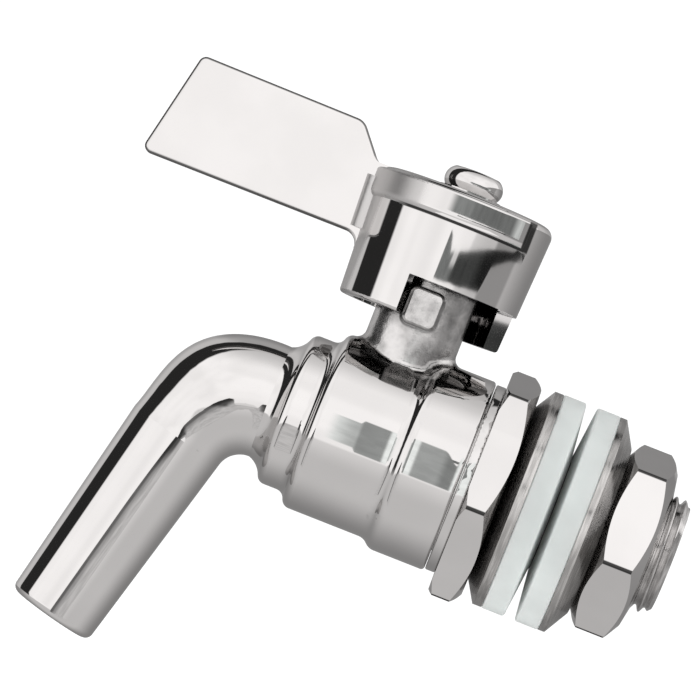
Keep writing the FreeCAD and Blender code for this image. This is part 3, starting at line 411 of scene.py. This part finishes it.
def finishes():
    """Makes each finish once."""
    if MATERIALS:
        return MATERIALS
    chosen = bpy.context.scene.tap_finish
    bright, polish = chosen.polished, chosen.polish
    MATERIALS.update({
        "casting": cast_steel("polished casting", bright, polish, chosen.casting),
        "polished": polished_steel("polished steel", bright, polish),
        "hexagon": polished_steel("polished hexagon", bright, polish, painted_corner_lines(HEXAGON_FLAT)),
        "nut": polished_steel("polished nut", bright, polish, painted_corner_lines(NUT_FLAT)),
        "lever": polished_steel("polished lever", bright, polish, lever_painted_dark, blade_root),
        "turned": turned_steel("turned steel", chosen.turned, 0.2, 1500.0, WASHER_BEVEL_SHADE),
        "thread": turned_steel("threaded steel", bright, 0.13, 900.0),
        "silicone": soft_silicone("milky silicone", chosen.silicone),
        "rubber": matt_polymer("black seal rubber", (0.03, 0.03, 0.032), 0.55, 1200.0),
        "seat": matt_polymer("white seat plastic", (0.86, 0.86, 0.84), 0.4, 500.0),
    })
    return MATERIALS


def finish_node(name, finish):
    """Gives a CAD node its finish."""
    mesh = NODES[name].data
    mesh.materials.clear()
    mesh.materials.append(finishes()[finish])


def add_object(name, data):
    """Puts a mesh, a lamp or a camera in the scene."""
    made = bpy.data.objects.new(name, data)
    bpy.context.scene.collection.objects.link(made)
    return made


def mesh_object(name, bm, material):
    """Turns a bmesh into an object at the origin."""
    mesh = bpy.data.meshes.new(name)
    bm.to_mesh(mesh)
    bm.free()
    mesh.materials.append(material)
    return add_object(name, mesh)


def new_piece(name, bm, body, slot, finish, *stands_for):
    """Turns a bmesh into a finished piece that rides on its body."""
    piece = mesh_object(name, bm, finishes()[finish])
    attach(piece, body)
    if stands_for:
        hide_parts(*stands_for)
    return piece


# One turn of a rounded thread: share of the pitch, and share of the depth.
THREAD_SHAPE = (
    (0.0, 0.0), (0.08, 0.05), (0.15, 0.18), (0.35, 0.82), (0.42, 0.95), (0.5, 1.0),
    (0.58, 0.95), (0.65, 0.82), (0.85, 0.18), (0.92, 0.05), (1.0, 0.0),
)
THREAD_STEPS = 72
# Points closer than this are one: on the wound thread, on a CAD node, and at a cut.
THREAD_WELD = 0.002 * MM
NODE_WELD = 0.001 * MM
CUT_WELD = 0.0005 * MM
# An edge is a rim at a place when its ends are within this of it.
RIM_REACH = 0.01 * MM
# An edge is sharp from this angle up.
SHARP_ANGLE = math.radians(32)


def cut_off(bm, place, side):
    """Cuts square across X at a place, and removes what lies on that side of the cut: -1 below it, 1 above it."""
    bmesh.ops.bisect_plane(
        bm, geom=bm.verts[:] + bm.edges[:] + bm.faces[:], plane_co=(place, 0, 0), plane_no=(side, 0, 0),
        clear_outer=True, dist=CUT_WELD)


def helix(bm, start, end, root, sizes):
    """Winds the thread's shape along X, past both ends, and cuts it off at them."""
    turns = math.ceil((end - start) / sizes.pitch) + 2
    first = math.floor(start / sizes.pitch) * sizes.pitch - sizes.pitch
    corners = [bm.verts.new((first + along * sizes.pitch, 0, root + up * sizes.depth)) for along, up in THREAD_SHAPE]
    edges = [bm.edges.new(pair) for pair in zip(corners, corners[1:])]
    bmesh.ops.spin(
        bm, geom=corners + edges, axis=(1, 0, 0), cent=(0, 0, 0), dvec=(sizes.pitch / THREAD_STEPS, 0, 0),
        angle=2 * math.pi * turns, steps=THREAD_STEPS * turns)
    bmesh.ops.remove_doubles(bm, verts=bm.verts[:], dist=THREAD_WELD)
    cut_off(bm, start, -1)
    cut_off(bm, end, 1)


def hold_radius(bm, least, most):
    """Moves each point in or out until its distance from the X axis is between two limits for its place."""
    for vert in bm.verts:
        radius = math.hypot(vert.co.y, vert.co.z)
        held = min(max(radius, least(vert.co.x)), most(vert.co.x))
        if held != radius:
            vert.co.y *= held / radius
            vert.co.z *= held / radius


def plain_wall(bm, start, end, radius):
    """A plain tube wall along X."""
    rims = []
    for place in (start, end):
        ring = bmesh.ops.create_circle(
            bm, cap_ends=False, radius=radius, segments=THREAD_STEPS,
            matrix=Matrix.Translation((place, 0, 0)) @ Matrix.Rotation(math.pi / 2, 4, "Y"))
        rims.extend({edge for vert in ring["verts"] for edge in vert.link_edges})
    bmesh.ops.bridge_loops(bm, edges=rims)


def close_ends(bm, *places):
    """Fills the flat rings between the open rims at each place along X."""
    for place in places:
        rim = [edge for edge in bm.edges if edge.is_boundary
               and all(abs(vert.co.x - place) < RIM_REACH for vert in edge.verts)]
        bmesh.ops.triangle_fill(bm, edges=rim, use_beauty=True, use_dissolve=False)


def shade(bm):
    """Smooth faces, with the creases kept sharp."""
    bm.normal_update()
    for face in bm.faces:
        face.smooth = True
    for edge in bm.edges:
        edge.smooth = len(edge.link_faces) == 2 and edge.calc_face_angle(0) < SHARP_ANGLE


def weigh_normals(piece):
    """Lets large faces set the shading, so that small bevels don't bend it."""
    modifier = piece.modifiers.new("even shading", "WEIGHTED_NORMAL")
    modifier.keep_sharp = True


class FILTERTAP_OT_connector(bpy.types.Operator):
    """Cuts a real thread on the tail behind the hexagon."""

    bl_idname = "filter_tap.connector"
    bl_label = "Threaded connector"

    def execute(self, context):
        sizes = context.scene.tap_thread
        end_radius = sizes.crest - sizes.lead_in - 0.05 * MM

        head = bmesh.new()
        head.from_mesh(NODES["end_connector"].data)
        bmesh.ops.remove_doubles(head, verts=head.verts[:], dist=NODE_WELD)
        cut_off(head, sizes.start, 1)
        close_ends(head, sizes.start)

        tail = bmesh.new()
        helix(tail, sizes.start, TAIL_END, sizes.crest - sizes.depth, sizes)
        hold_radius(tail, lambda x: 0.0, lambda x: end_radius + (TAIL_END - x))
        plain_wall(tail, sizes.start, TAIL_END, sizes.bore)
        close_ends(tail, sizes.start, TAIL_END)
        bmesh.ops.recalc_face_normals(tail, faces=tail.faces[:])
        wound = bpy.data.meshes.new("wound thread")
        tail.to_mesh(wound)
        tail.free()
        head.from_mesh(wound)
        bpy.data.meshes.remove(wound)
        shade(head)
        piece = new_piece("threaded_connector", head, "valve", "polished_steel", "hexagon", "end_connector")
        piece.data.materials.append(finishes()["thread"])
        for face in piece.data.polygons:
            face.material_index = int(face.center.x > sizes.start)
        weigh_normals(piece)
        return {"FINISHED"}


class FILTERTAP_OT_nut_thread(bpy.types.Operator):
    """Winds the thread inside the backnut, in step with the tail's."""

    bl_idname = "filter_tap.nut_thread"
    bl_label = "Backnut thread"

    def execute(self, context):
        sizes = context.scene.tap_thread
        root = sizes.crest - sizes.depth + sizes.clearance
        wall = sizes.crest + sizes.clearance + 0.05 * MM
        groove = wall - 0.02 * MM
        mouth = 0.9 * MM

        ridge = bmesh.new()
        helix(ridge, NUT_START, NUT_END, root, sizes)
        hold_radius(ridge, lambda x: groove - min(x - NUT_START, NUT_END - x, mouth), lambda x: groove)
        plain_wall(ridge, NUT_START, NUT_END, wall)
        close_ends(ridge, NUT_START, NUT_END)
        bmesh.ops.recalc_face_normals(ridge, faces=ridge.faces[:])
        shade(ridge)
        new_piece("nut_thread", ridge, "nut", "polished_steel", "thread")
        finish_node("backnut", "nut")
        return {"FINISHED"}


class FILTERTAP_OT_valve(bpy.types.Operator):
    """Finishes the casting and what is inside it."""

    bl_idname = "filter_tap.valve"
    bl_label = "Valve"

    def execute(self, context):
        for name, finish in (
                ("valve_body", "casting"), ("ball", "polished"), ("front_seat", "seat"), ("rear_seat", "seat"),
                ("body_o_ring", "rubber"), ("stem", "polished"), ("stem_o_ring_lower", "rubber"),
                ("stem_o_ring_upper", "rubber"), ("stem_lower_washer", "seat"), ("stem_upper_washer", "seat"),
                ("stem_gland", "polished")):
            finish_node(name, finish)
        return {"FINISHED"}


class FILTERTAP_OT_lever(bpy.types.Operator):
    """Finishes the lever handle, its screw and its washer."""

    bl_idname = "filter_tap.lever"
    bl_label = "Lever handle"

    def execute(self, context):
        for name in ("lever_handle", "handle_washer", "handle_screw"):
            finish_node(name, "lever")
        return {"FINISHED"}


class FILTERTAP_OT_washers(bpy.types.Operator):
    """Finishes the steel and the soft washers."""

    bl_idname = "filter_tap.washers"
    bl_label = "Washers"

    def execute(self, context):
        for side in ("front", "rear"):
            finish_node(side + "_steel_washer", "turned")
            finish_node(side + "_silicone_washer", "silicone")
        return {"FINISHED"}


def build_world(glow):
    """White walls with a dark band to the left and above, and a grey table below.

    The two numbers that the pattern is drawn in are those of the surface that mirrors a direction to the camera:
    how far it faces right, and how far it faces up. Only gloss shows the pattern. Soft light is plain.
    """
    world = bpy.data.worlds.new("studio")
    bpy.context.scene.world = world
    world.use_nodes = True
    graph = Graph(world.node_tree)
    way = graph.node("ShaderNodeTexCoord").outputs["Generated"]
    leaning = graph.node("ShaderNodeVectorMath", {0: way, 1: (0, 1, 0)}, operation="SUBTRACT").outputs[0]
    facing = graph.node("ShaderNodeVectorMath", {0: leaning}, operation="NORMALIZE").outputs[0]
    right, _, up = graph.numbers(facing)
    tilt = graph.length(right, up)

    # The white walls, a little uneven and dimmer high up.
    clouds = graph.step(graph.noise(facing, 3.2, 2.0), 0.3, 0.7, glow * 0.93, glow * 1.06)
    light = graph.times(clouds, graph.step(up, 0.42, 0.78, 1.0, 0.62))
    # The dark band, outside a circle whose middle is a little to the right.
    from_middle = graph.length(graph.minus(right, 0.174), up)
    band = graph.times(graph.step(from_middle, 0.785, 0.812), graph.step(up, -0.3, -0.1))
    light = graph.blend(band, light, 0.03)
    # A grey rim outside the band, dimmer at the far edge and high up.
    rim = graph.times(graph.step(tilt, 0.9, 1.0, 0.8, 0.42), graph.step(up, 0.74, 0.86, 1.0, 0.66))
    light = graph.blend(graph.step(tilt, 0.85, 0.864), light, rim)
    # The table, whose far edge rises to the right. It darkens outwards, and a grey block stands on it.
    above_table = graph.total(
        graph.times(graph.larger(right, 0.0), -0.588), graph.times(graph.total(up, 0.19), 0.809))
    dusk = graph.total(graph.step(tilt, 0.15, 0.42, 0.82, 0.56), graph.step(tilt, 0.6, 1.02, 0.26, -0.28))
    block = graph.times(graph.step(right, 0.46, 0.5), graph.step(right, 0.76, 0.72), graph.step(up, -0.15, -0.08))
    light = graph.blend(graph.step(above_table, 0.012, -0.012), light, graph.blend(block, dusk, 0.42))

    colour = graph.node("ShaderNodeCombineColor", {
        "Red": light, "Green": graph.times(light, 0.985), "Blue": graph.times(light, 0.98)}).outputs[0]
    ray = graph.node("ShaderNodeLightPath").outputs
    shown = graph.colour_blend(ray["Is Glossy Ray"], (0.8, 0.81, 0.81, 1.0), colour)
    shown = graph.colour_blend(ray["Is Camera Ray"], shown, (1.1, 1.1, 1.1, 1.0))
    backdrop = graph.node("ShaderNodeBackground", {"Color": shown, "Strength": 1.0})
    graph.node("ShaderNodeOutputWorld", {"Surface": backdrop.outputs[0]})


def stage_object(name, bm, material):
    """Turns a bmesh into an object at the origin, for the floor or a card, which aren't part of the tap."""
    made = mesh_object(name, bm, material)
    return made


def build_floor():
    """A wide pale floor under the spout, lit so that it is white away from the tap."""
    low = CAD_BOX[0].z - 15 * MM
    bm = bmesh.new()
    bmesh.ops.create_circle(bm, cap_ends=True, radius=0.9, segments=64, matrix=Matrix.Translation((0, 0, low)))
    material, graph = new_material("pale floor")
    clouds = graph.noise(object_place(graph)[0], 9.0, 2.0)
    close_material(
        graph, clouds, 0.02, 0.1 * MM,
        Base_Color=graph.colour_blend(clouds, (0.93, 0.93, 0.93, 1.0), (0.96, 0.96, 0.96, 1.0)),
        Roughness=0.9, Specular_IOR_Level=0.0, Emission_Color=(1.0, 1.0, 1.0, 1.0), Emission_Strength=0.3)
    floor = stage_object("floor", bm, material)
    floor.visible_glossy = False


def card_material(name, tint, pattern, change):
    """A card's own soft light, with holes where the pattern's share is 0."""
    material, graph = new_material(name)
    place, x, y, z = object_place(graph)
    mottle = graph.step(graph.noise(place, 300.0, 3.0), 0.3, 0.7, 1 - change, 1 + change)
    strength, share = pattern(graph, x, y, z)
    shine = graph.node("ShaderNodeEmission", {"Color": shaded(tint), "Strength": graph.times(strength, mottle)})
    clear = graph.node("ShaderNodeBsdfTransparent")
    mixed = graph.node("ShaderNodeMixShader", {0: share, 1: clear.outputs[0], 2: shine.outputs[0]})
    graph.node("ShaderNodeOutputMaterial", {"Surface": mixed.outputs[0]})
    return material


def show_in_gloss_only(card):
    """Hides a card from the camera, from soft light and from the shadows."""
    card.visible_camera = False
    card.visible_diffuse = False
    card.visible_transmission = False
    card.visible_shadow = False


def add_card(name, low, high, material):
    """A flat card between two corners that share one coordinate. It shows only in the tap's polish."""
    span = high - low
    turn = Matrix.Rotation(math.pi / 2, 4, "X") if span.y == 0 else Matrix.Identity(4)
    bm = bmesh.new()
    bmesh.ops.create_grid(
        bm, x_segments=1, y_segments=1, size=0.5,
        matrix=Matrix.Translation((low + high) / 2) @ Matrix.Diagonal((*span, 1)) @ turn)
    show_in_gloss_only(stage_object(name, bm, material))


def add_curved_card(name, ends, heights, radius, material):
    """A card bent round the stem. ends holds the angles at its ends, from the front towards the right."""
    first, last = (math.radians(end) for end in ends)
    bm = bmesh.new()
    corners = [bm.verts.new((STEM_X, -radius, height)) for height in heights]
    edge = bm.edges.new(corners)
    bmesh.ops.rotate(bm, verts=corners, cent=(STEM_X, 0, 0), matrix=Matrix.Rotation(first, 3, "Z"))
    bmesh.ops.spin(bm, geom=[*corners, edge], axis=(0, 0, 1), cent=(STEM_X, 0, 0), angle=last - first, steps=48)
    show_in_gloss_only(stage_object(name, bm, material))


def plain_pattern(strength):
    """The same strength everywhere, with no holes."""
    return lambda graph, x, y, z: (strength, 1.0)


def spout_pattern(graph, x, y, z):
    """Grey to the right of a slanting edge, with a dark line along that edge."""
    rise = graph.larger(graph.total(z, 24 * MM), 0.0)
    edge = graph.total(
        graph.times(graph.total(z, 26 * MM), 0.235), graph.times(rise, rise, 24.0), -57.3 * MM)
    inside = graph.minus(x, edge)
    strength = graph.total(
        graph.step(inside, 3 * MM, 7 * MM, 0.2, 0.5), graph.step(inside, 7 * MM, 13 * MM, 0.0, 0.27))
    corner = graph.times(graph.step(z, -19 * MM, -14 * MM), graph.step(x, -40 * MM, -44 * MM, 0.0, 0.75))
    below_top = graph.minus(z, graph.step(x, -39 * MM, -43.5 * MM, 0.0, 7 * MM))
    share = graph.times(graph.step(inside, -0.4 * MM, 0.4 * MM), graph.step(below_top, -12.4 * MM, -13.6 * MM))
    return graph.times(strength, graph.minus(1.0, corner)), share


def barrel_pattern(graph, x, y, z):
    """Two dark panes in a white wall. The left one has a paler pane beside it, and the right one's top slopes."""
    pale = graph.step(x, -28.3 * MM, -28.9 * MM)
    last = graph.step(x, -14.2 * MM, -13.8 * MM)
    white = graph.total(last, graph.times(
        graph.step(x, -24.6 * MM, -24.1 * MM), graph.step(x, -19.8 * MM, -20.3 * MM)))
    right = graph.step(x, -20.3 * MM, -19.8 * MM)
    low = graph.blend(pale, 12.4 * MM, 9.5 * MM)
    slope = graph.step(x, -16.5 * MM, -14.0 * MM, 12.4 * MM, 5.0 * MM)
    high = graph.blend(last, graph.blend(pale, slope, 9.5 * MM), 12.4 * MM)
    share = graph.times(
        graph.step(graph.minus(z, high), 0.6 * MM, -0.6 * MM),
        graph.step(graph.total(z, low), -0.6 * MM, 0.6 * MM), graph.step(x, -33.4 * MM, -31.5 * MM))
    dark = graph.blend(right, 0.46, graph.step(x, -16.6 * MM, -15.2 * MM, 0.56, 0.34))
    strength = graph.blend(pale, dark, graph.step(x, -33 * MM, -29 * MM, 1.2, 0.75))
    return graph.blend(white, strength, 1.38), share


def angle_round_stem(graph, x, y):
    """Degrees round the stem, from the front towards the right."""
    return graph.times(graph.math("ARCTAN2", graph.minus(x, STEM_X), graph.times(y, -1.0)), math.degrees(1))


def cup_pattern(graph, x, y, z):
    """A dark shape with a pale notch, and an arm that rises to the right."""
    turn = angle_round_stem(graph, x, y)
    height = graph.total(z, graph.step(turn, 5.0, 110.0, 4.7 * MM, 1.5 * MM))
    past = graph.minus(turn, 17.0)
    top = graph.larger(
        graph.total(graph.times(past, 0.0415 * MM), 28.3 * MM), graph.step(turn, -6.0, 9.0, 31.0 * MM, 27.0 * MM))
    arm = graph.total(graph.times(past, 0.083 * MM), 23.9 * MM)
    bottom = graph.blend(graph.step(turn, 54.0, 59.0), 23.2 * MM, arm)
    shape = graph.times(
        graph.step(graph.minus(height, top), 0.25 * MM, -0.25 * MM),
        graph.step(graph.minus(height, bottom), -0.25 * MM, 0.25 * MM))
    notch = graph.times(
        graph.step(turn, 7.5, 9.5), graph.step(turn, 15.0, 13.0), graph.step(height, 25.4 * MM, 26.8 * MM, 0.0, 0.6))
    strength = graph.total(graph.step(turn, 9.0, 17.0, 0.2, 0.0), graph.step(turn, 35.0, 50.0, 0.07, 0.02))
    return strength, graph.times(shape, graph.step(turn, -4.2, -3.0), graph.minus(1.0, notch))


def band_pattern(graph, x, y, z):
    """A grey strip that is darkest in the middle and fades out to the left."""
    turn = angle_round_stem(graph, x, y)
    strength = graph.total(graph.step(turn, 0.0, 20.0, 0.38, 0.24), graph.step(turn, 54.0, 63.0, 0.0, 0.6))
    return strength, graph.step(turn, -17.0, -7.0)


def build_cards():
    """The cards that the barrel, the spout and the lever's cup mirror."""
    warm, cool = (1.0, 0.985, 0.98), (0.965, 1.0, 0.985)
    # Flat cards: name, two corners in millimetres, tint, pattern, and how much the light varies.
    for name, low, high, tint, pattern, change in (
            ("barrel card", (-33.6, -40, -13.4), (-7.5, -40, 13.4), cool, barrel_pattern, 0.07),
            ("spout card", (-70, -40, -70), (-36, -40, -6), warm, spout_pattern, 0.12),
            ("white card", (-36, -30, 20), (-6, -19, 20), warm, plain_pattern(1.4), 0.0)):
        add_card(name, Vector(low) * MM, Vector(high) * MM, card_material(name + " light", tint, pattern, change))
    # Bent cards: name, angles at the ends in degrees, heights, radius, and the rest as for the flat ones.
    for name, ends, heights, radius, tint, pattern, change in (
            ("cup card", (-6, 102), (16 * MM, 33 * MM), 100 * MM, cool, cup_pattern, 0.12),
            ("band card", (-17, 68.7), (34.1 * MM, 42 * MM), 40 * MM, cool, band_pattern, 0.1)):
        add_curved_card(name, ends, heights, radius, card_material(name + " light", tint, pattern, change))


def add_softbox(name, place, width, power):
    """A soft lamp that lights the floor and the soft washers and leaves no reflection."""
    lamp = bpy.data.lights.new(name, "AREA")
    lamp.shape = "DISK"
    lamp.size = width
    lamp.energy = power
    holder = add_object(name, lamp)
    holder.location = place
    holder.rotation_euler = (-Vector(place)).to_track_quat("-Z", "Y").to_euler()
    holder.visible_glossy = False
    holder.visible_camera = False


def build_camera(sizes):
    """A long lens level with the tap, rolled so that the tap leans clockwise."""
    camera = bpy.data.cameras.new("camera")
    camera.lens = sizes.lens
    camera.clip_start = 0.01
    camera.clip_end = 20.0
    holder = add_object("camera", camera)
    place = Vector(sizes.camera_place)
    ahead = (Vector(sizes.camera_aim) - place).normalized()
    level = ahead.cross(Vector((0, 0, 1))).normalized()
    upright = level.cross(ahead)
    roll = sizes.camera_roll
    right = level * math.cos(roll) + upright * math.sin(roll)
    top = upright * math.cos(roll) - level * math.sin(roll)
    turn = Matrix((right, top, -ahead)).transposed()
    holder.matrix_world = Matrix.Translation(place) @ turn.to_4x4()
    bpy.context.scene.camera = holder


class FILTERTAP_OT_stage(bpy.types.Operator):
    """Sets up the floor, the light and the camera."""

    bl_idname = "filter_tap.stage"
    bl_label = "Studio"

    def execute(self, context):
        sizes = context.scene.tap_studio
        build_world(sizes.glow)
        build_floor()
        build_cards()
        add_softbox("top lamp", (0.15, -0.35, 1.1), 0.9, 4.0)
        build_camera(sizes)
        context.scene.view_settings.view_transform = "Standard"
        context.scene.view_settings.look = "None"
        return {"FINISHED"}


STEPS = (
    FILTERTAP_OT_valve, FILTERTAP_OT_connector, FILTERTAP_OT_nut_thread, FILTERTAP_OT_lever,
    FILTERTAP_OT_washers, FILTERTAP_OT_stage,
)


class FILTERTAP_PT_panel(bpy.types.Panel):
    """Lists the tap's sizes and the steps that build it."""

    bl_idname = "FILTERTAP_PT_panel"
    bl_label = "Filter tap"
    bl_space_type = "VIEW_3D"
    bl_region_type = "UI"
    bl_category = "Filter Tap"

    def draw(self, context):
        for name, group in GROUPS:
            for key in group.__annotations__:
                self.layout.prop(getattr(context.scene, name), key)
        for step in STEPS:
            self.layout.operator(step.bl_idname)


def register():
    for name, group in GROUPS:
        bpy.utils.register_class(group)
        setattr(bpy.types.Scene, name, PointerProperty(type=group))
    for item in (*STEPS, FILTERTAP_PT_panel):
        bpy.utils.register_class(item)


def unregister():
    for item in reversed((*STEPS, FILTERTAP_PT_panel)):
        bpy.utils.unregister_class(item)
    for name, group in GROUPS:
        delattr(bpy.types.Scene, name)
        bpy.utils.unregister_class(group)


def main():
    register()
    for step in STEPS:
        area, name = step.bl_idname.split(".")
        getattr(getattr(bpy.ops, area), name)()


if __name__ == "__main__":
    main()
